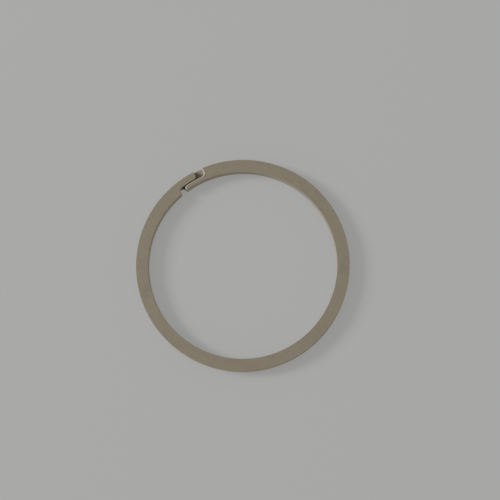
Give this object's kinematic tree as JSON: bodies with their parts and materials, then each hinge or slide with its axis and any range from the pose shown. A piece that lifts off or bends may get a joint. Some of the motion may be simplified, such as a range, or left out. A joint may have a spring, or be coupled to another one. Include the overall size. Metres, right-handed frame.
{
  "type": "sealing ring",
  "caption": "Flat split sealing ring of rectangular section, moulded in one piece, whose ends lap in a stepped joint so that it closes to a smaller diameter as it enters its bore.",
  "frame": {"origin": "centre of the ring, on its lower side face", "axes": "+Z along the ring's axis, away from the surface that it lies on; +X through the middle of the joint; +Y towards the end that the upper tongue grows from"},
  "size_m": [0.03, 0.03, 0.0015],
  "materials": {
    "ring_polymer": "matte"
  },
  "bodies": {
    "root": {"sealing_ring": "ring_polymer"}
  },
  "joints": []
}
